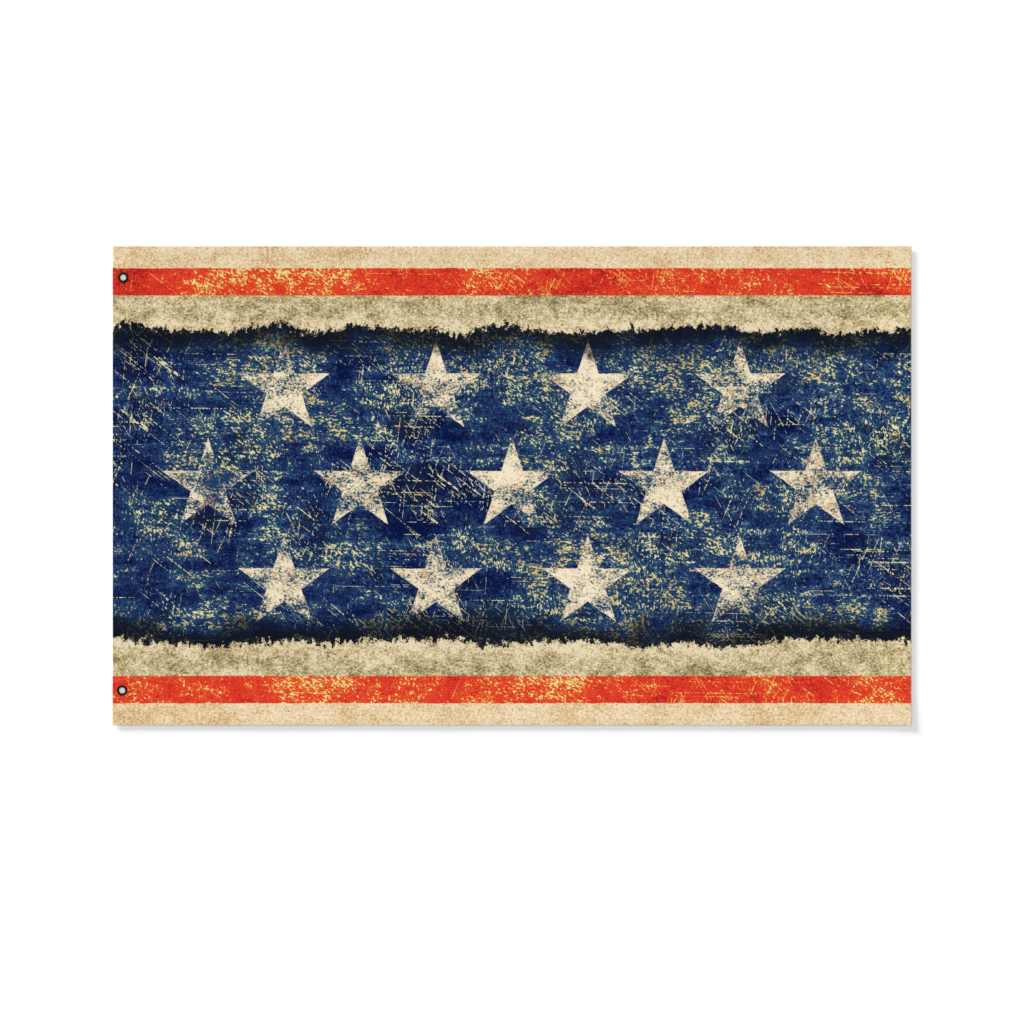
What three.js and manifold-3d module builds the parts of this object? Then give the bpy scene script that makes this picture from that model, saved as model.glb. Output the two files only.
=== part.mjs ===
// A printed flag, three feet by five, laid face up on a surface. Its cloth is one hemmed sheet.
// The hem along the hoist edge is wider, and two crimped metal eyelets are set in it.
//
// Frame: +X runs along the fly, away from the eyelets. +Y runs up the hoist. +Z is the printed side.
// The origin is under the middle of the flag, on the surface that it lies on. Millimetres.

import * as THREE from "three";
import { mergeVertices } from "three/addons/utils/BufferGeometryUtils.js";
import Module from "manifold-3d";

const wasm = await Module();
wasm.setup();

// The finished size of the flag, five feet along the fly and three feet up the hoist.
const FLY = 1524;
const HOIST = 914.4;

// The cloth between the hems, and the folded hems round it.
const CLOTH_THICK = 1.0;
const HEM_WIDE = 12;
const HEM_THICK = 1.4;
const HEM_STEP = 2;

// The wider hem along the hoist, which holds the eyelets.
const HEADING_WIDE = 36;
const HEADING_THICK = 1.4;

// The clearance between pieces that touch on the real flag.
const GAP = 0.3;

// The eyelets: a barrel with a flange in front, crimped over a washer behind.
const EYELETS = [
  { name: "top", fromHoist: 20, fromHem: 60, side: 1 },
  { name: "bottom", fromHoist: 18, fromHem: 66.5, side: -1 },
];
const HOLE_R = 6;
const BARREL_THICK = 0.6;
const FLANGE_R = 10;
const FLANGE_THICK = 0.8;
const LIP_WIDE = 1.4;
const LIP_THICK = 0.5;
const WASHER_R = 9.8;
const WASHER_THICK = 0.5;
const ROUND_SIDES = 36;

// Heights of what is stacked at an eyelet, from the surface up.
const BARREL_R = HOLE_R + BARREL_THICK;
const WASHER_UNDER = LIP_THICK + GAP;
const RAISED = WASHER_UNDER + WASHER_THICK + GAP;
const FLANGE_UNDER = RAISED + HEADING_THICK + GAP;
const FLANGE_TOP = FLANGE_UNDER + FLANGE_THICK;

// The washer props the cloth up: level out to the first radius, then down to the surface at the second.
const PROPPED_LEVEL_R = 15;
const PROPPED_R = 50;

// How high a hem stands off the surface at even steps along its edge, towards +X or +Y.
// Between two steps the height follows half a cosine wave, and it dies away inwards over LIFT_REACH.
const LIFT_REACH = 100;
const LIFTS = [
  { edge: "fly", high: [3.3, 3.1, 3.3, 3.1, 3.2, 3.1, 3.1] },
  { edge: "bottom", high: [3.0, 3.1, 3.3, 3.1, 3.3, 3.1, 3.2, 3.1, 3.3, 3.1, 3.2] },
  { edge: "top", high: [0, 0.3, 0.7, 0.3, 0.6, 0.3, 0.8, 0.4, 0.7, 0.5, 0.9] },
  { edge: "hoist", high: [0, 0, 0, 0.5, 0, 0, 0] },
];

// The plan grid: its steps inwards from an edge and from the heading, its pitch beyond them,
// and its steps from an eyelet.
const EDGE_STEPS = [26, 48, 72, LIFT_REACH];
const BY_HEADING_STEPS = [10, 22, 44];
const PITCH = 38;
const HEADING_STEPS = [0, 6, 12, 18, 27, 38, PROPPED_R];
const CLOTH_STEPS = [0, 12, 28, PROPPED_R];
const HEADING_COLUMNS = 6;

const CLOTH_COLOUR = 0x223155;
const METAL_COLOUR = 0x141416;

// Half a cosine wave, from 1 at 0 down to 0 at 1 and beyond.
function bell(t) {
  return Math.abs(t) < 1 ? (1 + Math.cos(Math.PI * t)) / 2 : 0;
}

function eyeletCentre({ fromHoist, fromHem, side }) {
  return new THREE.Vector2(-FLY / 2 + fromHoist, side * (HOIST / 2 - fromHem));
}

// How far in from an edge a plan point is, and how far along that edge, from 0 to 1.
function placeOn(edge, x, y) {
  const alongFly = x / FLY + 0.5;
  const alongHoist = y / HOIST + 0.5;
  if (edge === "fly") return { inward: FLY / 2 - x, along: alongHoist };
  if (edge === "hoist") return { inward: x + FLY / 2, along: alongHoist };
  if (edge === "bottom") return { inward: y + HOIST / 2, along: alongFly };
  return { inward: HOIST / 2 - y, along: alongFly };
}

// The height of the cloth's underside over the surface at a plan point.
function under(x, y) {
  const hems = LIFTS.map(({ edge, high }) => {
    const { inward, along } = placeOn(edge, x, y);
    const last = high.length - 1;
    const step = (height, i) => height * bell(along * last - i);
    return bell(inward / LIFT_REACH) * high.map(step).reduce((a, b) => a + b);
  });
  const props = EYELETS.map((eyelet) => {
    const r = eyeletCentre(eyelet).distanceTo(new THREE.Vector2(x, y));
    const out = Math.max(0, r - PROPPED_LEVEL_R) / (PROPPED_R - PROPPED_LEVEL_R);
    return RAISED * bell(out);
  });
  return Math.max(Math.hypot(...hems), ...props);
}

// The cloth's thickness at a plan point: the hem, or the single cloth inside it.
function clothThickness(x, y) {
  const inward = Math.min(FLY / 2 - x, HOIST / 2 - Math.abs(y));
  const slope = THREE.MathUtils.clamp((inward - HEM_WIDE) / HEM_STEP, 0, 1);
  return THREE.MathUtils.lerp(HEM_THICK, CLOTH_THICK, slope);
}

// Grid lines from the steps given inwards from both ends, and an even pitch between them.
function linesBetween(low, high, lowSteps, highSteps, pitch) {
  const start = low + Math.max(0, ...lowSteps);
  const end = high - Math.max(0, ...highSteps);
  const count = Math.max(1, Math.round((end - start) / pitch));
  const lines = [low, high];
  for (const step of lowSteps) lines.push(low + step);
  for (const step of highSteps) lines.push(high - step);
  for (let i = 0; i <= count; i++) lines.push(start + ((end - start) * i) / count);
  return tidy(lines);
}

// Grid lines in rising order, with any that lie too near the one before left out.
function tidy(lines) {
  const nearest = 1.5;
  const sorted = [...lines].sort((a, b) => a - b);
  return sorted.filter((line, i) => i === 0 || line - sorted[i - 1] > nearest);
}

// A closed sheet over a plan grid, between its underside and the thickness above it.
function sheet(columns, rows, thickness) {
  const across = columns.length;
  const layer = across * rows.length;
  const points = [];
  for (const top of [0, 1])
    for (const y of rows)
      for (const x of columns) points.push(x, y, under(x, y) + top * thickness(x, y));

  const faces = [];
  const quad = (a, b, c, d) => faces.push(a, b, c, a, c, d);
  for (let j = 0; j + 1 < rows.length; j++)
    for (let i = 0; i + 1 < across; i++) {
      const a = j * across + i;
      const [b, c, d] = [a + 1, a + 1 + across, a + across];
      quad(a, d, c, b);
      quad(layer + a, layer + b, layer + c, layer + d);
    }
  for (let i = 0; i + 1 < across; i++) {
    const far = layer - across + i;
    quad(i, i + 1, layer + i + 1, layer + i);
    quad(far + 1, far, layer + far, layer + far + 1);
  }
  for (let j = 0; j + 1 < rows.length; j++) {
    const left = j * across;
    const right = left + across - 1;
    quad(left + across, left, layer + left, layer + left + across);
    quad(right, right + across, layer + right + across, layer + right);
  }
  return new THREE.BufferGeometry()
    .setAttribute("position", new THREE.Float32BufferAttribute(points, 3))
    .setIndex(faces);
}

function toSolid(geometry) {
  const bare = geometry.clone().deleteAttribute("normal").deleteAttribute("uv");
  const merged = mergeVertices(bare);
  const triVerts = new Uint32Array(merged.index.array);
  const vertProperties = merged.attributes.position.array;
  return new wasm.Manifold(new wasm.Mesh({ numProp: 3, vertProperties, triVerts }));
}

function toGeometry(solid) {
  const { vertProperties, triVerts } = solid.getMesh();
  const geometry = new THREE.BufferGeometry()
    .setAttribute("position", new THREE.BufferAttribute(vertProperties, 3))
    .setIndex(new THREE.BufferAttribute(triVerts, 1));
  geometry.computeVertexNormals();
  return geometry;
}

// Grid lines up the hoist at the given steps from each eyelet's centre.
function linesAtEyelets(steps) {
  return EYELETS.flatMap((eyelet) => {
    const { y } = eyeletCentre(eyelet);
    return steps.flatMap((step) => [y - step, y + step]);
  });
}

// The flag inside its heading: single cloth with a hem along the fly, the top and the bottom.
function clothGeometry() {
  const hem = [HEM_WIDE, HEM_WIDE + HEM_STEP, ...EDGE_STEPS];
  const start = -FLY / 2 + HEADING_WIDE + GAP;
  const columns = linesBetween(start, FLY / 2, BY_HEADING_STEPS, hem, PITCH);
  const rows = linesBetween(-HOIST / 2, HOIST / 2, hem, hem, PITCH);
  return sheet(columns, tidy([...rows, ...linesAtEyelets(CLOTH_STEPS)]), clothThickness);
}

// The hoist hem, with a hole for each barrel.
function headingGeometry() {
  const left = -FLY / 2;
  const columns = linesBetween(left, left + HEADING_WIDE, [], [], HEADING_WIDE / HEADING_COLUMNS);
  const rows = linesBetween(-HOIST / 2, HOIST / 2, EDGE_STEPS, EDGE_STEPS, 2 * PITCH);
  const finer = tidy([...rows, ...linesAtEyelets(HEADING_STEPS)]);
  let strip = toSolid(sheet(columns, finer, () => HEADING_THICK));
  const tall = 4 * FLANGE_TOP;
  for (const eyelet of EYELETS) {
    const cutter = new THREE.CylinderGeometry(
      BARREL_R + GAP, BARREL_R + GAP, tall, ROUND_SIDES,
    ).rotateX(Math.PI / 2);
    const { x, y } = eyeletCentre(eyelet);
    strip = strip.subtract(toSolid(cutter.translate(x, y, 0)));
  }
  return toGeometry(strip);
}

// Turns a closed outline of radius and height round the upright axis.
function turned(outline) {
  const points = outline.map(([r, z]) => new THREE.Vector2(r, z));
  const closed = [...points, points[0].clone()];
  return new THREE.LatheGeometry(closed, ROUND_SIDES).rotateX(Math.PI / 2);
}

// A quarter round from one angle to another, in steps, as points of radius and height.
function rounded(r, z, wide, high, from, to) {
  const steps = 3;
  return Array.from({ length: steps + 1 }, (_, i) => {
    const angle = from + ((to - from) * i) / steps;
    return [r + wide * Math.cos(angle), z + high * Math.sin(angle)];
  });
}

// The barrel and its front flange in one: rounded into the hole, flat on top, rolled at the rim.
// Below, the barrel's end is turned outwards under the washer.
function eyeletGeometry() {
  const throat = 1.0;
  const rim = 0.9;
  const half = Math.PI / 2;
  return turned([
    [HOLE_R, LIP_THICK],
    ...rounded(HOLE_R + throat, FLANGE_UNDER, throat, FLANGE_THICK, 2 * half, half),
    ...rounded(FLANGE_R - rim, FLANGE_UNDER, rim, FLANGE_THICK, half, 0),
    [BARREL_R, FLANGE_UNDER],
    [BARREL_R, LIP_THICK],
    [BARREL_R + LIP_WIDE, LIP_THICK],
    [BARREL_R + LIP_WIDE, 0],
    [HOLE_R + BARREL_THICK / 2, 0],
  ].reverse());
}

function washerGeometry() {
  const hole = BARREL_R + GAP;
  const top = WASHER_UNDER + WASHER_THICK;
  return turned([
    [hole, top],
    [hole, WASHER_UNDER],
    [WASHER_R, WASHER_UNDER],
    [WASHER_R, top],
  ]);
}

const printedCloth = new THREE.MeshStandardMaterial({
  color: CLOTH_COLOUR, roughness: 0.9, metalness: 0,
});
const blackMetal = new THREE.MeshStandardMaterial({
  color: METAL_COLOUR, roughness: 0.35, metalness: 0.6,
});

const flag = new THREE.Group();

function addPiece(name, geometry, material, x = 0, y = 0) {
  const piece = new THREE.Mesh(geometry, material);
  piece.name = name;
  piece.position.set(x, y, 0);
  flag.add(piece);
}

addPiece("cloth", clothGeometry(), printedCloth);
addPiece("heading", headingGeometry(), printedCloth);
for (const eyelet of EYELETS) {
  const { x, y } = eyeletCentre(eyelet);
  addPiece(`eyelet_${eyelet.name}`, eyeletGeometry(), blackMetal, x, y);
  addPiece(`washer_${eyelet.name}`, washerGeometry(), blackMetal, x, y);
}

export default flag;
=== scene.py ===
import math

import bpy
import numpy as np
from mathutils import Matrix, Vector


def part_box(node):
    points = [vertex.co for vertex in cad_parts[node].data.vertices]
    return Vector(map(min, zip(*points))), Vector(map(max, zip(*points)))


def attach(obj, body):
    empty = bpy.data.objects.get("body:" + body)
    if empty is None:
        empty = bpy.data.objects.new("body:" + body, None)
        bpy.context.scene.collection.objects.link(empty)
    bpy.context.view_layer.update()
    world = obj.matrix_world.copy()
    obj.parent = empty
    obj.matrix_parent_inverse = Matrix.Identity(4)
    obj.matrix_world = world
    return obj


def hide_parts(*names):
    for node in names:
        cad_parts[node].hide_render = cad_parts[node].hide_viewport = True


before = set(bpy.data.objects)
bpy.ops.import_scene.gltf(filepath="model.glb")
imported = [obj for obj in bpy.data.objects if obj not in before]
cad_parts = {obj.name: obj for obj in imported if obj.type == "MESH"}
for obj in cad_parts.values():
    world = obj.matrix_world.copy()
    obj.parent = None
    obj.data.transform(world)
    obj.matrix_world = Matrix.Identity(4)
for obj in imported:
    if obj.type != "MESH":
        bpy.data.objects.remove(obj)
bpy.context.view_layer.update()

# The cloth. One cut of thin woven polyester, printed on its face, turned back and sewn down as a
# narrow hem along the fly, the top and the bottom, and as a wider heading along the hoist. It lies
# face up, with its edges up to three millimetres off the floor, and the eyelets' washers prop it up.

MM = 0.001
heading_low, heading_high = (np.array(corner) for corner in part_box("heading"))
cloth_low, cloth_high = (np.array(corner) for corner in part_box("cloth"))
HOIST_X, FLY_X = float(heading_low[0]), float(cloth_high[0])
BOTTOM_Y, TOP_Y = float(cloth_low[1]), float(cloth_high[1])
FLY_LONG, HOIST_LONG = FLY_X - HOIST_X, TOP_Y - BOTTOM_Y

CLOTH_THICK = 1.0 * MM
HEM_THICK = 1.4 * MM
HEM_WIDE = 12 * MM
HEADING_WIDE = float(heading_high[0] - heading_low[0])
FOLD_SLOPE = 1.2 * MM
TENT_REACH = 8 * MM
SEAM_FROM_FOLD = 2.2 * MM
SEAM_DEEP = 0.05 * MM
SEAM_WIDE = 0.9 * MM
CORNER_ROUND = 0.8 * MM

LIFT_REACH = 100 * MM
LIFTS = {
    "fly": [3.3, 3.1, 3.3, 3.1, 3.2, 3.1, 3.1],
    "bottom": [3.0, 3.1, 3.3, 3.1, 3.3, 3.1, 3.2, 3.1, 3.3, 3.1, 3.2],
    "top": [0, 0.3, 0.7, 0.3, 0.6, 0.3, 0.8, 0.4, 0.7, 0.5, 0.9],
    "hoist": [0, 0, 0, 0.5, 0, 0, 0],
}

eyelet_boxes = [np.array(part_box(node)) for node in ("eyelet_top", "eyelet_bottom")]
washer_boxes = [np.array(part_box(node)) for node in ("washer_top", "washer_bottom")]
EYELETS = [box.mean(axis=0)[:2] for box in eyelet_boxes]
FLANGE_R = (eyelet_boxes[0][1, 0] - eyelet_boxes[0][0, 0]) / 2
WASHER_TOP = washer_boxes[0][1, 2]
CLEAR = 0.3 * MM
PROPPED = WASHER_TOP + CLEAR
PROPPED_LEVEL_R, PROPPED_R = 15 * MM, 50 * MM
CLOTH_HOLE_R = 6.9 * MM
PUCKERS, PUCKER_HIGH, PUCKER_REACH = 11, 0.12 * MM, 12 * MM


def bell(t):
    """Half a cosine wave: 1 at t = 0, falling to 0 at t = 1 and beyond."""
    return np.where(np.abs(t) < 1, (1 + np.cos(np.pi * t)) / 2, 0)


def ease(t):
    """A smooth step: 3t^2 - 2t^3 with t held between 0 and 1."""
    t = np.clip(t, 0, 1)
    return t * t * (3 - 2 * t)


def lift_along(high, along):
    """Heights at even steps along an edge, joined by half cosine waves. along runs from 0 to 1."""
    steps = np.arange(len(high)).reshape(-1, *[1] * np.ndim(along))
    heights = np.array(high).reshape(steps.shape) * MM
    return (heights * bell(along * (len(high) - 1) - steps)).sum(axis=0)


def cloth_under(x, y):
    """The underside's height: the root of the summed squares of the four edges' lifts,
    each dying away inwards as a bell, or the propped disc round an eyelet where that is higher."""
    along_fly, along_hoist = (x - HOIST_X) / FLY_LONG, (y - BOTTOM_Y) / HOIST_LONG
    inward = {"fly": FLY_X - x, "hoist": x - HOIST_X, "bottom": y - BOTTOM_Y, "top": TOP_Y - y}
    total = 0
    for edge, high in LIFTS.items():
        along = along_hoist if edge in ("fly", "hoist") else along_fly
        total = total + (lift_along(high, along) * bell(inward[edge] / LIFT_REACH)) ** 2
    height = np.sqrt(total)
    for centre in EYELETS:
        out = (np.hypot(x - centre[0], y - centre[1]) - PROPPED_LEVEL_R) / (PROPPED_R - PROPPED_LEVEL_R)
        height = np.maximum(height, PROPPED * bell(np.maximum(out, 0)))
    return height


def cloth_levels(x, y):
    """Heights of the back and of the face. Past a hem's inner fold the back steps up by the hem's
    extra thickness and then sinks with the face, which eases down over a wider reach. Each row of
    stitches lies in a narrow trough, a set way outside the fold. Small puckers run out from each
    eyelet's flange, as a cosine of the angle within a bell of radius."""
    past_hems = np.minimum(FLY_X - x, np.minimum(y - BOTTOM_Y, TOP_Y - y)) - HEM_WIDE
    past_fold = np.minimum(past_hems, x - HOIST_X - HEADING_WIDE)
    extra = HEM_THICK - CLOTH_THICK
    step, tent = extra * ease(past_fold / FOLD_SLOPE), extra * ease(past_fold / TENT_REACH)
    under = cloth_under(x, y)
    face = under + HEM_THICK - tent
    face -= SEAM_DEEP * np.exp(-(((past_fold + SEAM_FROM_FOLD) / SEAM_WIDE) ** 2))
    for centre in EYELETS:
        from_flange = np.hypot(x - centre[0], y - centre[1]) - FLANGE_R
        waves = np.cos(PUCKERS * np.arctan2(y - centre[1], x - centre[0]))
        face += PUCKER_HIGH * waves * bell(2 * from_flange / PUCKER_REACH - 1)
    return under + step - tent, face


def graded_lines(low, high, pitch, spots):
    """Grid lines at an even pitch, with lines added round each spot at the offsets given for it.
    Of lines nearer than a third of a millimetre only the first is kept."""
    even = np.linspace(low, high, round((high - low) / pitch) + 1)
    for centre, offsets in spots:
        near = np.abs(even - centre) < np.max(np.abs(offsets)) + pitch / 3
        even = np.concatenate([even[~near], centre + np.array(offsets)])
    even = np.unique(np.concatenate([[low, high], even[(even > low) & (even < high)]]))
    return even[np.concatenate([[True], np.diff(even) > MM / 3])]


def grid_faces(across, up, keep):
    """Quads over an across by up grid of points counted row by row, for the cells in keep."""
    corner = (np.arange(up - 1)[:, None] * across + np.arange(across - 1)[None, :])[keep]
    return np.stack([corner, corner + 1, corner + 1 + across, corner + across], axis=1)


def loop_faces(first, second):
    """Quads between two closed loops of point numbers that run side by side."""
    return np.stack([first, np.roll(first, -1), np.roll(second, -1), second], axis=1)


def mesh_object(name, points, faces, materials):
    """A smoothly shaded mesh object at the origin from arrays of points and of faces."""
    mesh = bpy.data.meshes.new(name)
    mesh.from_pydata(np.asarray(points).tolist(), [], np.asarray(faces).tolist())
    for material in materials:
        mesh.materials.append(material)
    mesh.polygons.foreach_set("use_smooth", np.ones(len(mesh.polygons), dtype=bool))
    mesh.update()
    thing = bpy.data.objects.new(name, mesh)
    bpy.context.collection.objects.link(thing)
    return thing


FIELD_PITCH = 10 * MM
HOLE_PITCH = 2 * MM
HOLE_STEPS = 4
SQUARE_RINGS = 9
HOLE_BLEND = SQUARE_RINGS * HOLE_PITCH
BY_FOLD = np.array([
    -11.5, -10, -8, -5, -3.2, -2.7, -2.2, -1.7, -1.2, -0.6, 0, 0.6, 1.2, 2, 4, 8,
]) * MM
RIM = HEM_THICK / 2
RIM_ANGLES = [60, 30, 0, -30, -60]
LOW_X, HIGH_X, LOW_Y, HIGH_Y = HOIST_X + RIM, FLY_X - RIM, BOTTOM_Y + RIM, TOP_Y - RIM
EYELET_COLUMN = np.mean([centre[0] for centre in EYELETS])
MAP_BORDER = 2 * MM
FACE_ON_MAP, BACK_ON_MAP = (0, 0.62), (0.63, 0.37)


def plan_lines():
    """The plan grid's lines across the fly and up the hoist. They run closer together by the folds,
    at the offsets in BY_FOLD, and round the eyelets, at an even pitch."""
    by_hole = np.arange(-SQUARE_RINGS, SQUARE_RINGS + 1) * HOLE_PITCH
    across = graded_lines(LOW_X, HIGH_X, FIELD_PITCH, [
        (FLY_X - HEM_WIDE, -BY_FOLD), (HOIST_X + HEADING_WIDE, BY_FOLD[2:]), (EYELET_COLUMN, by_hole[:-1]),
    ])
    up = graded_lines(LOW_Y, HIGH_Y, FIELD_PITCH, [
        (TOP_Y - HEM_WIDE, -BY_FOLD), (BOTTOM_Y + HEM_WIDE, BY_FOLD),
        (EYELETS[0][1], by_hole), (EYELETS[1][1], by_hole),
    ])
    return across, up


def round_holes(across, up, x, y, plan_x, plan_y):
    """Moves the plan's points round each eyelet so that the grid's square rings become circles near
    the hole and stay square further out. Returns the cells to keep, which are those outside the
    holes, and the point numbers round each hole."""
    keep = np.ones((len(up) - 1, len(across) - 1), dtype=bool)
    inner = HOLE_STEPS * HOLE_PITCH
    side = np.arange(-HOLE_STEPS, HOLE_STEPS)
    rows = np.concatenate([0 * side - HOLE_STEPS, side, 0 * side + HOLE_STEPS, -side])
    columns = np.concatenate([side, 0 * side + HOLE_STEPS, -side, 0 * side - HOLE_STEPS])
    loops = []
    for centre in EYELETS:
        column = np.argmin(np.abs(across - EYELET_COLUMN))
        row = np.argmin(np.abs(up - centre[1]))
        middle_x, middle_y = across[column], up[row]
        dx, dy = x - middle_x, y - middle_y
        square = np.maximum(np.abs(dx), np.abs(dy))
        round_r = np.maximum(np.hypot(dx, dy), MM / 100)
        t = ease((square - inner) / (HOLE_BLEND - inner))
        ring = CLOTH_HOLE_R + (square - inner) * (HOLE_BLEND - CLOTH_HOLE_R) / (HOLE_BLEND - inner)
        near = square < HOLE_BLEND
        plan_x[near] = (middle_x + (1 - t) * (centre[0] - middle_x + ring * dx / round_r) + t * dx)[near]
        plan_y[near] = (middle_y + (1 - t) * (centre[1] - middle_y + ring * dy / round_r) + t * dy)[near]
        keep[row - HOLE_STEPS:row + HOLE_STEPS, column - HOLE_STEPS:column + HOLE_STEPS] = False
        loops.append((row + rows) * len(across) + column + columns)
    return keep, loops


def round_corners(x, y, plan_x, plan_y):
    """Moves the plan's points in each corner's small square onto a quarter disc: a point at shares
    a and b of the square's sides goes to a * sqrt(1 - b^2 / 2) and b * sqrt(1 - a^2 / 2) of them."""
    for sign_x, edge_x in ((-1, LOW_X), (1, HIGH_X)):
        for sign_y, edge_y in ((-1, LOW_Y), (1, HIGH_Y)):
            a = np.clip(sign_x * (x - edge_x) / CORNER_ROUND + 1, 0, 1)
            b = np.clip(sign_y * (y - edge_y) / CORNER_ROUND + 1, 0, 1)
            plan_x += sign_x * CORNER_ROUND * a * (np.sqrt(1 - b * b / 2) - 1)
            plan_y += sign_y * CORNER_ROUND * b * (np.sqrt(1 - a * a / 2) - 1)


def edge_loop(width, height):
    """The point numbers round the edge of a grid of width by height points, anticlockwise."""
    count = width * height
    bottom_row = np.arange(width - 1)
    right_column = np.arange(height - 1) * width + width - 1
    top_row = count - 1 - np.arange(width - 1)
    left_column = count - width - np.arange(height - 1) * width
    return np.concatenate([bottom_row, right_column, top_row, left_column])


def rim_rings(plan, back_level, face_level):
    """Rings of points down a half circle outside the sheet's edge, from its face to its back. Also
    gives each ring's plan place when the half circle's upper and lower halves are rolled out flat."""
    step = np.roll(plan, -1, axis=0) - np.roll(plan, 1, axis=0)
    outward = np.stack([step[:, 1], -step[:, 0]], axis=1) / np.hypot(*step.T)[:, None]
    rings, rolled_out = [], []
    for angle in np.radians(RIM_ANGLES):
        level = back_level + (face_level - back_level) * (1 + math.sin(angle)) / 2
        rings.append(np.column_stack([plan + outward * RIM * math.cos(angle), level]))
        rolled_out.append(plan + outward * RIM * (math.pi / 2 - abs(angle)))
    return rings, rolled_out


def places_on_map(place, walls, on_back):
    """Turns the plan place of each face corner into its place on a square map, the face below and
    the back above it. Before that the far end of each hole's wall is drawn in towards the middle of
    its hole, so that the wall lies flat inside the hole. walls marks the corners at those ends."""
    for centre in EYELETS:
        inward = walls & (np.hypot(*(place - centre).transpose(2, 0, 1)) < HOLE_BLEND)
        place[inward] -= (place[inward] - centre) * (HEM_THICK / CLOTH_HOLE_R)
    place = (place - [HOIST_X - MAP_BORDER, BOTTOM_Y - MAP_BORDER]) / [
        FLY_LONG + 2 * MAP_BORDER, HOIST_LONG + 2 * MAP_BORDER,
    ]
    low, share = np.where(on_back[:, None], BACK_ON_MAP, FACE_ON_MAP).T[:, :, None]
    place[..., 1] = low + share * place[..., 1]
    return place


def cloth_sheet():
    """A closed sheet: a face and a back over one plan grid, a half-round rim and two round holes.
    Gives its points, its faces, which faces are the back's, and each face corner's place on the map.
    The rim's lower half goes with the back there, and the rest of the rim with the face."""
    across, up = plan_lines()
    x, y = np.meshgrid(across, up)
    plan_x, plan_y = x.copy(), y.copy()
    keep, hole_loops = round_holes(across, up, x, y, plan_x, plan_y)
    round_corners(x, y, plan_x, plan_y)
    plan = np.stack([plan_x.ravel(), plan_y.ravel()], axis=1)
    back_level, face_level = cloth_levels(*plan.T)

    edge = edge_loop(len(across), len(up))
    rings, rolled_out = rim_rings(plan[edge], back_level[edge], face_level[edge])
    face, back = np.column_stack([plan, face_level]), np.column_stack([plan, back_level])
    points = np.concatenate([face, back, *rings])
    count, bands = len(plan), len(rings) + 1
    ring_loops = 2 * count + np.arange(len(rings) * len(edge)).reshape(len(rings), -1)
    loops = [edge, *ring_loops, edge + count]
    quads = grid_faces(len(across), len(up), keep)
    rim_quads = [loop_faces(lower, upper) for lower, upper in zip(loops[1:], loops[:-1])]
    wall_quads = [loop_faces(loop, loop + count) for loop in hole_loops]
    faces = np.concatenate([quads, quads[:, ::-1] + count, *rim_quads, *wall_quads])

    number = np.arange(len(faces))
    rim_start = 2 * len(quads)
    walls_start = rim_start + bands * len(edge)
    is_back = (number >= len(quads)) & (number < rim_start)
    on_back = is_back | ((number >= rim_start + bands // 2 * len(edge)) & (number < walls_start))
    walls = (number >= walls_start)[:, None] & (faces >= count)
    place = places_on_map(np.concatenate([plan, plan, *rolled_out])[faces], walls, on_back)
    used, renumbered = np.unique(faces, return_inverse=True)
    return points[used], renumbered.reshape(faces.shape), is_back, place


# The print. Dye pressed into the cloth's face: a navy field of cream stars between cream and red
# stripes, drawn as if old, with rubbed and flaked colours, scratches and stains, and a painted shade
# along the field's upper and lower edges. The dye goes through to the back, where it looks paler.


def paint(red, green, blue):
    """A colour given as its screen values from 0 to 255, as the linear values that a shader takes."""
    shares = np.array([red, green, blue]) / 255
    linear = np.where(shares > 0.04045, ((shares + 0.055) / 1.055) ** 2.4, shares / 12.92)
    return (*linear.tolist(), 1.0)


class Amount:
    """A number that shader nodes work out at each point. Sums and products of amounts add nodes."""

    tree = None

    def __init__(self, socket):
        self.socket = socket

    def __add__(self, other):
        return worked_out("ADD", self, other)

    def __radd__(self, other):
        return worked_out("ADD", other, self)

    def __sub__(self, other):
        return worked_out("SUBTRACT", self, other)

    def __rsub__(self, other):
        return worked_out("SUBTRACT", other, self)

    def __mul__(self, other):
        return worked_out("MULTIPLY", self, other)

    def __rmul__(self, other):
        return worked_out("MULTIPLY", other, self)

    def __truediv__(self, other):
        return worked_out("DIVIDE", self, other)


def feed(socket, value):
    """Joins a shader socket to an amount or another socket, or sets it to a number or colour."""
    if isinstance(value, Amount):
        value = value.socket
    if isinstance(value, bpy.types.NodeSocket):
        Amount.tree.links.new(value, socket)
    else:
        socket.default_value = value


def worked_out(operation, *values):
    """The amount that one of the shader's maths operations makes of amounts or numbers."""
    node = Amount.tree.nodes.new("ShaderNodeMath")
    node.operation = operation
    for socket, value in zip(node.inputs, values):
        feed(socket, value)
    return Amount(node.outputs[0])


def rise(value, low, high):
    """0 where the value is under low, 1 where it is over high, and smooth between."""
    node = Amount.tree.nodes.new("ShaderNodeMapRange")
    node.interpolation_type = "SMOOTHSTEP"
    feed(node.inputs["Value"], value)
    feed(node.inputs["From Min"], low)
    feed(node.inputs["From Max"], high)
    return Amount(node.outputs[0])


def over(below, above, cover):
    """One colour laid over another where cover is 1."""
    node = Amount.tree.nodes.new("ShaderNodeMix")
    node.data_type = "RGBA"
    feed(node.inputs[0], cover)
    feed(node.inputs[6], below)
    feed(node.inputs[7], above)
    return node.outputs[2]


def graded(value, low, high, colours):
    """A colour from a row of evenly spaced colours, the first at low and the last at high."""
    spread = Amount.tree.nodes.new("ShaderNodeMapRange")
    feed(spread.inputs["Value"], value)
    feed(spread.inputs["From Min"], low)
    feed(spread.inputs["From Max"], high)
    ramp = Amount.tree.nodes.new("ShaderNodeValToRGB")
    feed(ramp.inputs[0], spread.outputs[0])
    stops = ramp.color_ramp.elements
    for _ in colours[2:]:
        stops.new(0.5)
    for i, colour in enumerate(colours):
        stops[i].position = i / (len(colours) - 1)
        stops[i].color = colour
    return ramp.outputs[0]


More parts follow.
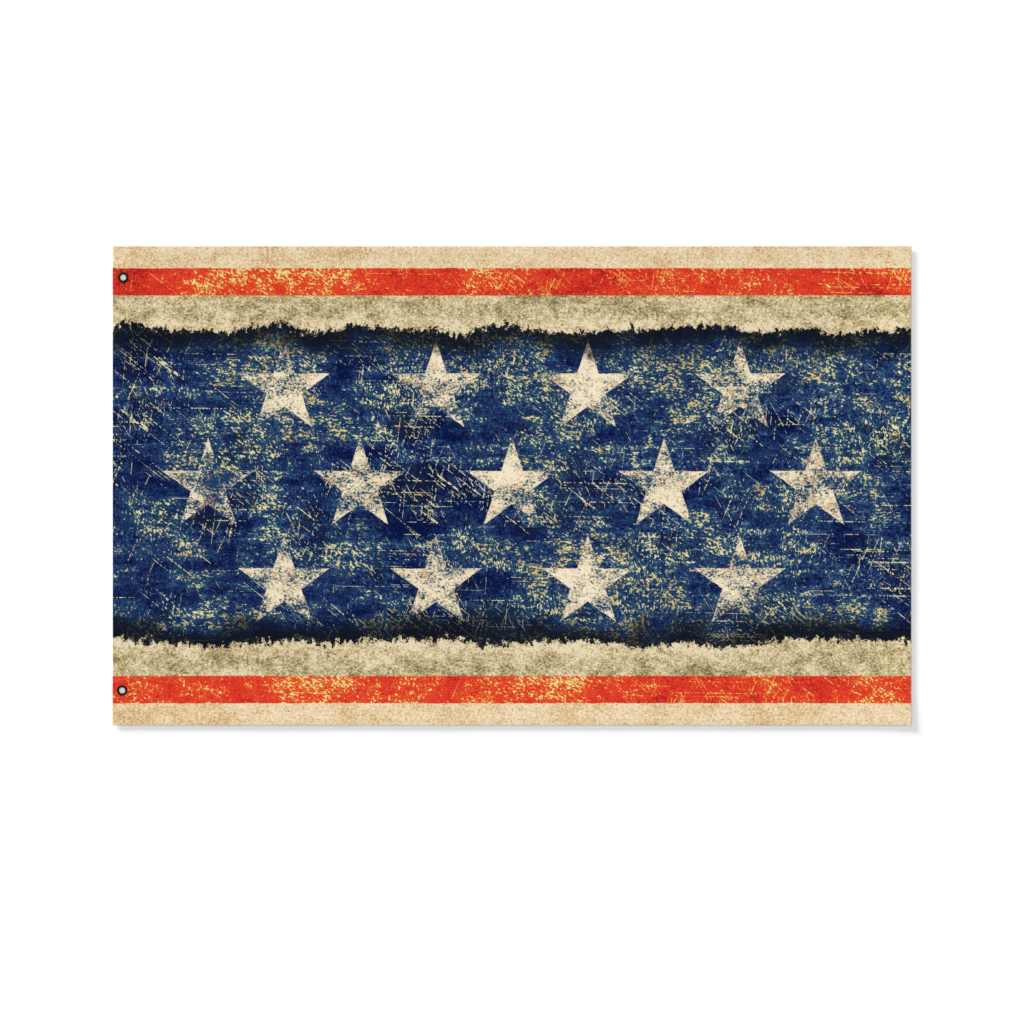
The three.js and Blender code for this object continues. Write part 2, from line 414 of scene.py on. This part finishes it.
def plan_coordinates():
    """The plan position of each point of a piece, in metres, and its height."""
    split = Amount.tree.nodes.new("ShaderNodeSeparateXYZ")
    feed(split.inputs[0], Amount.tree.nodes.new("ShaderNodeTexCoord").outputs["Object"])
    return [Amount(output) for output in split.outputs]


def marks(long, wide, turn=0, shift=0, detail=2, rough=0.5):
    """Noise with blobs of the given length and width in millimetres, turned by degrees in the plane.
    Each level of detail halves the blobs. It is centred on 0, and most lies between -0.2 and 0.2."""
    mapping = Amount.tree.nodes.new("ShaderNodeMapping")
    mapping.vector_type = "TEXTURE"
    feed(mapping.inputs["Vector"], Amount.tree.nodes.new("ShaderNodeTexCoord").outputs["Object"])
    mapping.inputs["Location"].default_value = (shift, 0.7 * shift, 0)
    mapping.inputs["Rotation"].default_value = (0, 0, math.radians(turn))
    mapping.inputs["Scale"].default_value = (long * MM, wide * MM, 1)
    noise = Amount.tree.nodes.new("ShaderNodeTexNoise")
    noise.noise_dimensions = "2D"
    feed(noise.inputs["Vector"], mapping.outputs[0])
    noise.inputs["Scale"].default_value = 1
    noise.inputs["Detail"].default_value = detail
    noise.inputs["Roughness"].default_value = rough
    return Amount(noise.outputs[0]) - 0.5


STAR_R = 92 * MM
STAR_NOTCH_R = STAR_R * 0.382
STAR_COLUMN, STAR_ROW = 290 * MM, 186 * MM
STAR_REACH_X = 0.61
FIELD_HALF = 301 * MM
# How far in from the field's upper and lower edges the painted shade reaches, and where it is full.
SHADE_WIDE, SHADE_FULL = 70 * MM, 14 * MM
PALE_BESIDE_FIELD = 30 * MM
RED_FROM, RED_TO = 363 * MM, 415 * MM
CRISP = 0.7 * MM
EDGE_BARE = 1.2 * MM
WEAVE_PITCH, WEAVE_DEEP = 0.42 * MM, 0.04 * MM
CRAZING_CELL = 50 * MM

# These two rows run from the deepest dye to the most worn.
BLUES = [paint(*screen) for screen in (
    (6, 19, 62), (15, 29, 72), (24, 40, 84), (29, 48, 92), (34, 60, 100), (44, 80, 108),
    (64, 102, 114), (96, 126, 122),
)]
REDS = [paint(*screen) for screen in (
    (150, 32, 27), (198, 43, 34), (211, 52, 38), (217, 60, 40), (219, 68, 42), (218, 86, 46),
    (214, 112, 52),
)]
# These run from the dye round a flake to the bare ground in its middle.
STRAW_FLAKES = [paint(*screen) for screen in (
    (40, 80, 100), (66, 106, 112), (112, 140, 118), (168, 174, 134), (212, 200, 152), (234, 216, 164),
)]
GOLD_FLAKES = [paint(*screen) for screen in (
    (222, 84, 42), (224, 120, 48), (224, 160, 66), (222, 194, 102), (230, 212, 144),
)]
# These three run from the most soiled to the cleanest.
STAR_CREAMS = [paint(*screen) for screen in (
    (26, 60, 98), (74, 106, 120), (144, 150, 137), (187, 177, 150), (208, 193, 163),
    (222, 208, 177), (242, 228, 200),
)]
CREAMS = [paint(*screen) for screen in (
    (196, 158, 108), (214, 182, 136), (225, 202, 162), (231, 211, 176), (240, 223, 192),
)]
AGED_CREAMS = [paint(*screen) for screen in (
    (122, 110, 80), (158, 141, 102), (182, 163, 119), (199, 181, 138), (212, 195, 156), (230, 215, 182),
)]
SOOT = paint(24, 32, 44)
STEEL_BLUE = paint(70, 112, 150)
BRIGHT_BLUE = paint(46, 94, 146)
OCHRE = paint(206, 172, 92)
TAN = paint(205, 150, 84)
RUST = paint(196, 118, 48)
UMBER = paint(92, 58, 42)
# Near black, for the painted shade along the field's upper and lower edges.
FIELD_EDGE_SHADE = paint(15, 19, 25)
UNDYED = paint(222, 222, 220)
SHOW_THROUGH = 0.14


def star_depth(x, y, fray):
    """How deep inside the nearest star a point is, in metres, with fray added.
    The plan folds into the cell of one star, then by angle into one tenth of it, where the star's
    edge is the line from its point to its notch."""
    row = worked_out("ROUND", y / STAR_ROW)
    row = worked_out("MAXIMUM", worked_out("MINIMUM", row, 1), -1)
    outer_row = worked_out("ABSOLUTE", row)
    shifted = x - outer_row * (STAR_COLUMN / 2)
    local_x = shifted - worked_out("ROUND", shifted / STAR_COLUMN) * STAR_COLUMN
    local_y = y - row * STAR_ROW
    angle = worked_out("ARCTAN2", local_x, local_y)
    fifth = math.pi / 5
    turned_by = worked_out("FLOORED_MODULO", angle + fifth, 2 * fifth)
    folded = worked_out("ABSOLUTE", turned_by - fifth)
    radius = worked_out("SQRT", local_x * local_x + local_y * local_y)
    ahead, aside = radius * worked_out("COSINE", folded), radius * worked_out("SINE", folded)
    notch = (STAR_NOTCH_R * math.cos(fifth), STAR_NOTCH_R * math.sin(fifth))
    edge = (notch[0] - STAR_R, notch[1])
    length = math.hypot(*edge)
    depth = (STAR_R - ahead) * (edge[1] / length) + aside * (edge[0] / length)
    in_row = rise(STAR_REACH_X - worked_out("ABSOLUTE", x) + (1 - outer_row), 0, MM)
    return (depth + fray) * in_row - (1 - in_row)


class Wear:
    """The marks of age that all colours of the print share."""

    def __init__(self):
        self.wide = marks(300, 200, shift=3, detail=1)
        self.patches = marks(120, 60, shift=11, detail=3)
        self.others = marks(170, 120, shift=23, detail=2)
        self.rows = marks(220, 16, shift=67, detail=3, rough=0.6)
        self.specks = marks(4.8, 4, shift=31, detail=1, rough=0.8)
        self.blots = marks(50, 40, shift=41, detail=4, rough=0.65)
        self.mottle = marks(12, 12, shift=19, detail=3, rough=0.9)
        self.grain = marks(48, 32, turn=-8, shift=5, detail=4, rough=0.95)
        level = marks(9, 4.2, turn=-3, shift=7, detail=1.5, rough=0.9)
        slanted = marks(10, 4.4, turn=-40, shift=17, detail=1.5, rough=0.9)
        upright = marks(4.6, 9, turn=4, shift=29, detail=1.5, rough=0.9)
        leaning = level + (slanted - level) * rise(self.others, -0.04, 0.04)
        self.flecks = leaning + (upright - leaning) * rise(marks(200, 200, shift=61, detail=1), 0.05, 0.1)
        worn = self.wide * 12 + self.patches * 14 + self.rows * 7
        self.worn = worked_out("MINIMUM", worn, 1.3)
        self.flaked = self.flecks * 11 + self.grain * 13 + self.specks * 5
        self.scratches = self.long_scratches()

    def long_scratches(self):
        """Thin lines in five directions and a few broad ones, broken up by the grain. Most of them
        are in the places that are drawn as the most handled."""
        handled = rise(self.others - self.wide, 0.02, 0.22)
        lines = 0
        for long, wide, turn, shift, low in (
            (300, 3.6, -1, 71, 0.25), (160, 3.2, -38, 73, 0.25), (140, 3.2, 66, 79, 0.26),
            (110, 3.0, 84, 97, 0.27), (120, 3.0, -62, 103, 0.27), (150, 10, -36, 91, 0.31),
        ):
            low = low - 0.07 * handled
            line = rise(marks(long, wide, turn=turn, shift=shift, detail=1), low, low + 0.03)
            lines = worked_out("MAXIMUM", lines, line)
        return lines * rise(self.flecks + self.grain, -0.12, 0.06)


def worn_blue(wear, x, y):
    """Navy worn through teal to flakes of straw, with ochre and rust stains, scratches, sooty places,
    and steel blue crazing towards the lower corner of the fly."""
    level = wear.worn + wear.grain * 18 + wear.flecks * 9 + wear.specks * 9
    colour = graded(level, -4.8, 4.4, BLUES)
    bright = rise(wear.others - wear.wide, 0, 0.25) * rise(level, -1, 1.2)
    colour = over(colour, BRIGHT_BLUE, bright * 0.45)
    colour = over(colour, SOOT, rise(wear.others + wear.blots * 0.6, 0.02, 0.24) * 0.5)
    bareness = worked_out("MAXIMUM", wear.worn + wear.flaked, wear.scratches * 3.5)
    bare = graded(bareness, 2.0, 3.7, STRAW_FLAKES)
    ochre = rise(wear.wide - wear.others + wear.blots, 0.02, 0.3) * rise(bareness, 2.3, 3.2)
    bare = over(bare, OCHRE, ochre * 0.65)
    bare = over(bare, RUST, rise(wear.blots, 0.15, 0.26) * 0.5)
    colour = over(colour, bare, rise(bareness, 1.75, 2.35))
    corner = rise(x - y * 0.6 + wear.others * 1.5, 0.15, 0.42)
    return over(colour, STEEL_BLUE, crazing() * corner * rise(wear.mottle, -0.06, 0.08) * 0.6)


def crazing():
    """Crooked cracks: the walls between the cells of a pattern whose coordinates noise has bent."""
    place = Amount.tree.nodes.new("ShaderNodeMapping")
    place.vector_type = "TEXTURE"
    place.inputs["Scale"].default_value = (CRAZING_CELL, CRAZING_CELL, 1)
    feed(place.inputs["Vector"], Amount.tree.nodes.new("ShaderNodeTexCoord").outputs["Object"])
    bend = Amount.tree.nodes.new("ShaderNodeTexNoise")
    bend.noise_dimensions = "2D"
    bend.inputs["Scale"].default_value = 1.6
    bend.inputs["Detail"].default_value = 4
    feed(bend.inputs["Vector"], place.outputs[0])
    bent = Amount.tree.nodes.new("ShaderNodeVectorMath")
    feed(bent.inputs[0], place.outputs[0])
    feed(bent.inputs[1], bend.outputs["Color"])
    cells = Amount.tree.nodes.new("ShaderNodeTexVoronoi")
    cells.voronoi_dimensions = "2D"
    cells.feature = "DISTANCE_TO_EDGE"
    cells.inputs["Scale"].default_value = 1
    feed(cells.inputs["Vector"], bent.outputs[0])
    return 1 - rise(Amount(cells.outputs["Distance"]), 0, 0.06)


def worn_star(wear):
    """Cream rubbed through to the blue under it, with tan stains."""
    level = wear.mottle * 6 - wear.grain * 20 - wear.specks * 11 - wear.others * 11 - wear.patches * 8
    colour = graded(level, -3.0, 2.2, STAR_CREAMS)
    return over(colour, TAN, rise(wear.mottle + wear.blots * 0.4, 0.07, 0.15) * 0.45)


def worn_red(wear):
    """Red, darker where it is least worn, with scratches and flakes of gold."""
    worn = wear.wide * 6 + wear.others * 9
    colour = graded(worn + wear.grain * 12 + wear.specks * 9, -4.6, 3.6, REDS)
    bareness = worked_out("MAXIMUM", worn + wear.flaked, wear.scratches * 2.8)
    return over(colour, graded(bareness, 1.7, 3.4, GOLD_FLAKES), rise(bareness, 1.4, 2.0))


def stained_cream(wear):
    """The outer cream, with tan stains and small brown spots."""
    level = wear.mottle * 5 + wear.patches * 4 + wear.blots * 4 + wear.specks * 7
    colour = graded(level, -2.2, 1.8, CREAMS)
    colour = over(colour, TAN, rise(wear.blots + wear.patches * 0.4, 0.12, 0.26) * 0.45)
    dots = rise(marks(4.2, 3.6, shift=83, detail=1) + wear.patches * 0.35, 0.25, 0.31)
    return over(colour, UMBER, dots * 0.7)


def aged_cream(wear, distance_up):
    """The greyer cream beside the field, palest along the field's edge."""
    from_field = rise(distance_up, FIELD_HALF + 4 * MM, FIELD_HALF + PALE_BESIDE_FIELD)
    level = wear.grain * 15 + wear.specks * 9 + wear.mottle * 6 + wear.patches * 5
    return graded(level - from_field * 1.2, -4.4, 1.4, AGED_CREAMS)


def woven_height(x, y):
    """A plain weave: the product of one sine along each set of threads, so that each thread goes over
    and under those that it crosses."""
    across = worked_out("SINE", x * (math.pi / WEAVE_PITCH))
    return across * worked_out("SINE", y * (math.pi / WEAVE_PITCH))


def printed_cloth(name, faded):
    """The printed cloth's material: matt dyed polyester with the whole print on Object coordinates.
    faded is how far the colours are thinned towards the undyed cloth, as they are on the back. The
    hems and the heading are turned back, so there they show the printed side in full."""
    material = bpy.data.materials.new(name)
    material.use_nodes = True
    Amount.tree = material.node_tree
    shader = material.node_tree.nodes["Principled BSDF"]
    x, y, _ = plan_coordinates()
    distance_up = worked_out("ABSOLUTE", y)
    wear = Wear()

    waves = marks(120, 120, shift=47, detail=3)
    teeth = marks(11, 15, shift=53, detail=5, rough=0.75)
    in_star = rise(star_depth(x, y, wear.grain * 0.006), -CRISP, CRISP)
    field = over(worn_blue(wear, x, y), worn_star(wear), in_star)
    # Painted shade: the navy darkens to near black towards the field's upper and lower edges, fading
    # inwards over a wavy reach.
    shade_reach = distance_up + waves * 0.1 + wear.grain * 0.09
    edge_shade = rise(shade_reach, FIELD_HALF - SHADE_WIDE, FIELD_HALF - SHADE_FULL)
    field = over(field, FIELD_EDGE_SHADE, edge_shade * 0.93)

    red_reach = distance_up + wear.grain * 0.005
    past_red = rise(red_reach, RED_TO - CRISP, RED_TO + CRISP)
    red = rise(red_reach, RED_FROM - CRISP, RED_FROM + CRISP) - past_red
    outer = rise(distance_up, RED_FROM, RED_TO)
    creams = over(aged_cream(wear, distance_up), stained_cream(wear), outer)
    stripes = over(creams, worn_red(wear), red)

    edge = distance_up + waves * 0.05 + teeth * 0.06
    colour = over(field, stripes, rise(edge, FIELD_HALF - CRISP, FIELD_HALF + CRISP))
    bare_fly = rise(x, FLY_X - EDGE_BARE, FLY_X - EDGE_BARE / 2)
    bare_bottom = rise(-1 * y, -BOTTOM_Y - EDGE_BARE, -BOTTOM_Y - EDGE_BARE / 2)
    bare = worked_out("MAXIMUM", bare_fly, bare_bottom)
    inside_folds = worked_out("MINIMUM", FLY_X - HEM_WIDE - x, x - (HOIST_X + HEADING_WIDE))
    inside_folds = worked_out("MINIMUM", inside_folds, TOP_Y - HEM_WIDE - distance_up)
    thinned = rise(inside_folds, 0, CRISP) * faded
    colour = over(colour, UNDYED, worked_out("MAXIMUM", bare * 0.8, thinned))
    feed(shader.inputs["Base Color"], colour)
    feed(shader.inputs["Roughness"], 0.86 + wear.mottle * 0.25)
    shader.inputs["Specular IOR Level"].default_value = 0.02
    shader.inputs["Sheen Weight"].default_value = 0.01
    weave = Amount.tree.nodes.new("ShaderNodeBump")
    weave.inputs["Strength"].default_value = 0.5
    weave.inputs["Distance"].default_value = WEAVE_DEEP
    feed(weave.inputs["Height"], woven_height(x, y))
    feed(shader.inputs["Normal"], weave.outputs[0])
    return material


sheet_points, sheet_faces, sheet_is_back, sheet_map = cloth_sheet()
face_material = printed_cloth("printed_face", 0)
back_material = printed_cloth("printed_back", SHOW_THROUGH)
cloth = mesh_object("printed_flag", sheet_points, sheet_faces, [face_material, back_material])
cloth.data.polygons.foreach_set("material_index", sheet_is_back.astype(np.int32))
cloth.data.uv_layers.new(name="OFBake").uv.foreach_set("vector", sheet_map.ravel().astype(np.float32))
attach(cloth, "root")
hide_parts("cloth", "heading")

# The stitches. Rows of lockstitch in fine thread, which has the print's colours: one row along each
# narrow hem, and two along the heading. The thread shows in front and behind.

STITCH_LONG = 3 * MM
STITCH_GAP = 0.35 * MM
THREAD_R = 0.13 * MM
THREAD_SIDES = 4
THREAD_STEPS = 5
THREAD_SUNK = 0.08 * MM
ROW_IN = HEM_WIDE - SEAM_FROM_FOLD
HEADING_ROWS = (3.5 * MM, HEADING_WIDE - SEAM_FROM_FOLD)


def stitch_rows():
    """Middles and directions of all stitches, at an even pitch along each row."""
    left, right = HOIST_X + HEADING_ROWS[0], FLY_X - ROW_IN
    low, high = BOTTOM_Y + ROW_IN, TOP_Y - ROW_IN
    rows = [((left, low), (right, low)), ((left, high), (right, high)), ((right, low), (right, high))]
    rows += [((HOIST_X + inward, low), (HOIST_X + inward, high)) for inward in HEADING_ROWS]
    middles, ways = [], []
    for start, end in rows:
        start, end = np.array(start), np.array(end)
        count = int(np.hypot(*(end - start)) / STITCH_LONG)
        steps = (np.arange(count) + 0.5)[:, None] / count
        middles.append(start + steps * (end - start))
        ways.append(np.tile((end - start) / np.hypot(*(end - start)), (count, 1)))
    return np.concatenate(middles), np.concatenate(ways)


def thread_stitches():
    """Each stitch is a thin closed thread along its row. Its height over the cloth follows half a
    cosine wave, so its ends go down into the needle holes, and its radius shrinks towards them."""
    middles, ways = stitch_rows()
    along = np.linspace(-1, 1, THREAD_STEPS + 1)
    radius = THREAD_R * np.sqrt(1 - 0.94 * along ** 4)
    around = 2 * np.pi * np.arange(THREAD_SIDES) / THREAD_SIDES
    reach = along * (STITCH_LONG - STITCH_GAP) / 2
    line = middles[:, None, :] + reach[None, :, None] * ways[:, None, :]
    back, face = cloth_levels(line[..., 0], line[..., 1])
    arch = THREAD_R * (0.8 * np.cos(along * np.pi / 2) - 0.2) - THREAD_SUNK
    points, faces = [], []
    for level in (face + arch, np.maximum(back - arch, THREAD_R)):
        aside = np.stack([-ways[:, 1], ways[:, 0]], axis=1)[:, None, None, :]
        plan = line[:, :, None, :] + aside * (radius[:, None] * np.cos(around))[None, :, :, None]
        height = level[:, :, None] + (radius[:, None] * np.sin(around))[None]
        points.append(np.concatenate([plan, height[..., None]], axis=3).reshape(-1, 3))
        ring = np.arange(THREAD_SIDES)
        last = THREAD_STEPS * THREAD_SIDES + ring
        quads = np.concatenate([ring[None, ::-1], last[None], *[
            loop_faces(step * THREAD_SIDES + ring, (step + 1) * THREAD_SIDES + ring)
            for step in range(THREAD_STEPS)
        ]])
        per_stitch = len(along) * THREAD_SIDES
        faces.append((quads[None] + per_stitch * np.arange(len(middles))[:, None, None]).reshape(-1, 4))
    return np.concatenate(points), np.concatenate([faces[0], faces[1] + len(points[0])])


thread_material = face_material.copy()
thread_material.name = "hem_thread"
thread_material.node_tree.nodes["Principled BSDF"].inputs["Roughness"].default_value = 0.5
stitches = mesh_object("hem_stitches", *thread_stitches(), [thread_material])
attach(stitches, "root")

# The eyelets. Two-part pressed steel in black enamel: a barrel with a domed front flange, whose end
# is curled over a washer behind, with the heading gripped between them.

ROUND_SIDES = 72
EYELET_OUTLINE = {
    "bore": [(6.0, 0.45), (6.0, 1.6), (6.0, 2.8), (6.0, 3.5)],
    "throat": [(6.05, 3.68), (6.2, 3.85), (6.5, 4.0), (6.9, 4.08)],
    "crown": [(7.4, 4.1), (8.1, 4.1), (8.7, 4.03)],
    "rim": [(9.3, 3.86), (9.7, 3.62), (9.93, 3.33), (10.0, 3.08), (9.92, 2.98), (9.8, 3.05)],
    "hollow": [(9.6, 3.3), (9.2, 3.5), (8.4, 3.66), (7.4, 3.66), (6.9, 3.5), (6.6, 3.2)],
    "barrel": [(6.6, 2.2), (6.6, 1.4), (6.6, 0.95)],
    "curl": [
        (6.75, 0.72), (7.1, 0.6), (7.6, 0.6), (7.9, 0.68), (8.05, 0.6), (8.05, 0.4), (7.8, 0.16),
        (7.3, 0.02), (6.8, 0.0), (6.4, 0.06), (6.12, 0.2),
    ],
}
WASHER_OUTLINE = {
    "inside": [(6.95, 0.8), (6.9, 0.95), (6.95, 1.12)],
    "top": [(7.3, 1.2), (8.3, 1.3), (9.2, 1.42), (9.6, 1.5)],
    "rim": [(9.78, 1.42), (9.8, 1.2), (9.7, 1.02)],
    "under": [(9.4, 0.98), (8.3, 0.84), (7.4, 0.74)],
}


def turned(centre, outline):
    """A closed outline of radius and height in millimetres turned round the upright axis at centre."""
    radius, height = np.array([spot for part in outline.values() for spot in part]).T * MM
    angle = 2 * np.pi * np.arange(ROUND_SIDES)[:, None] / ROUND_SIDES
    points = np.stack([
        centre[0] + radius * np.cos(angle), centre[1] + radius * np.sin(angle), height + 0 * angle,
    ], axis=2)
    number = np.arange(points.shape[0] * points.shape[1]).reshape(points.shape[:2])
    right, down = np.roll(number, -1, axis=0), np.roll(number, -1, axis=1)
    corner = np.roll(right, -1, axis=1)
    return points.reshape(-1, 3), np.stack([number, down, corner, right], axis=2).reshape(-1, 4)


ENAMEL = paint(4, 4, 5)
ENAMEL_WORN = paint(12, 12, 13)
STEEL_BARE = paint(150, 148, 144)


def black_enamel():
    """Satin black enamel on steel, a little uneven, chipped to bare metal in tiny spots on the crown."""
    material = bpy.data.materials.new("black_enamel")
    material.use_nodes = True
    Amount.tree = material.node_tree
    shader = material.node_tree.nodes["Principled BSDF"]
    height = plan_coordinates()[2]
    cloudy = marks(2, 2, shift=1, detail=3)
    chips = rise(marks(0.5, 0.5, shift=5, detail=2), 0.2, 0.24) * rise(height, 3.9 * MM, 4.08 * MM)
    worn = over(ENAMEL_WORN, STEEL_BARE, chips)
    feed(shader.inputs["Base Color"], over(ENAMEL, worn, rise(cloudy, -0.1, 0.3)))
    feed(shader.inputs["Metallic"], chips)
    feed(shader.inputs["Roughness"], 0.42 + cloudy * 0.3)
    shader.inputs["Specular IOR Level"].default_value = 0.1
    bump = Amount.tree.nodes.new("ShaderNodeBump")
    bump.inputs["Strength"].default_value = 0.3
    bump.inputs["Distance"].default_value = 0.05 * MM
    feed(bump.inputs["Height"], cloudy)
    feed(shader.inputs["Normal"], bump.outputs[0])
    return material


enamel = black_enamel()
for place, centre in zip(("top", "bottom"), EYELETS):
    for kind, outline in (("eyelet", EYELET_OUTLINE), ("washer", WASHER_OUTLINE)):
        piece = mesh_object(f"{place}_{kind}", *turned(centre, outline), [enamel])
        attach(piece, "root")
        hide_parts(f"{kind}_{place}")

# The floor. A plain white studio surface. It lies a tenth of a millimetre under the flag, so that
# the two surfaces nowhere coincide.

FLOOR_HALF = 60.0
FLOOR_DROP = 0.1 * MM
floor_material = bpy.data.materials.new("white_floor")
floor_material.use_nodes = True
floor_shader = floor_material.node_tree.nodes["Principled BSDF"]
floor_shader.inputs["Base Color"].default_value = (1, 1, 1, 1)
floor_shader.inputs["Roughness"].default_value = 1.0
floor_shader.inputs["Specular IOR Level"].default_value = 0.0
floor = mesh_object(
    "floor",
    np.array([(-1, -1, 0), (1, -1, 0), (1, 1, 0), (-1, 1, 0)]) * FLOOR_HALF - [0, 0, FLOOR_DROP],
    [(0, 1, 2, 3)],
    [floor_material],
)

# The light. A low soft key from the upper left, which throws the shadow along the right and bottom
# edges, a broad even light from almost straight above, and a faint one from all round.


def sun(name, strength, spread, azimuth, elevation):
    """A sun lamp that shines from an azimuth, counted from +X towards +Y, and an elevation, and is
    spread as wide as it looks from the floor, all in degrees."""
    lamp = bpy.data.lights.new(name, "SUN")
    lamp.energy = strength
    lamp.angle = math.radians(spread)
    thing = bpy.data.objects.new(name, lamp)
    thing.rotation_euler = (0, math.radians(90 - elevation), math.radians(azimuth))
    bpy.context.collection.objects.link(thing)


sun("key", strength=4.3, spread=15, azimuth=135, elevation=14.4)
sun("overhead", strength=1.885, spread=80, azimuth=135, elevation=88)
world = bpy.data.worlds.new("studio")
world.use_nodes = True
world.node_tree.nodes["Background"].inputs["Color"].default_value = (1, 1, 1, 1)
world.node_tree.nodes["Background"].inputs["Strength"].default_value = 0.08
bpy.context.scene.world = world

# The camera. A long lens looks straight down at a point a little below the flag's middle, from as
# high as makes the flag's length fill the share of the frame that it does in the photograph.

FRAME_PIXELS = 1024
FLAG_PIXELS = 798.3
AIM_BELOW = 26.3
METRES_PER_PIXEL = FLY_LONG / FLAG_PIXELS
camera_data = bpy.data.cameras.new("camera")
camera_data.lens = 85
camera_data.sensor_width = 36
half_view = FRAME_PIXELS * METRES_PER_PIXEL / 2
camera = bpy.data.objects.new("camera", camera_data)
camera.location = (
    0, -AIM_BELOW * METRES_PER_PIXEL, half_view / (camera_data.sensor_width / 2 / camera_data.lens),
)
bpy.context.collection.objects.link(camera)
bpy.context.scene.camera = camera
bpy.context.scene.view_settings.view_transform = "Standard"
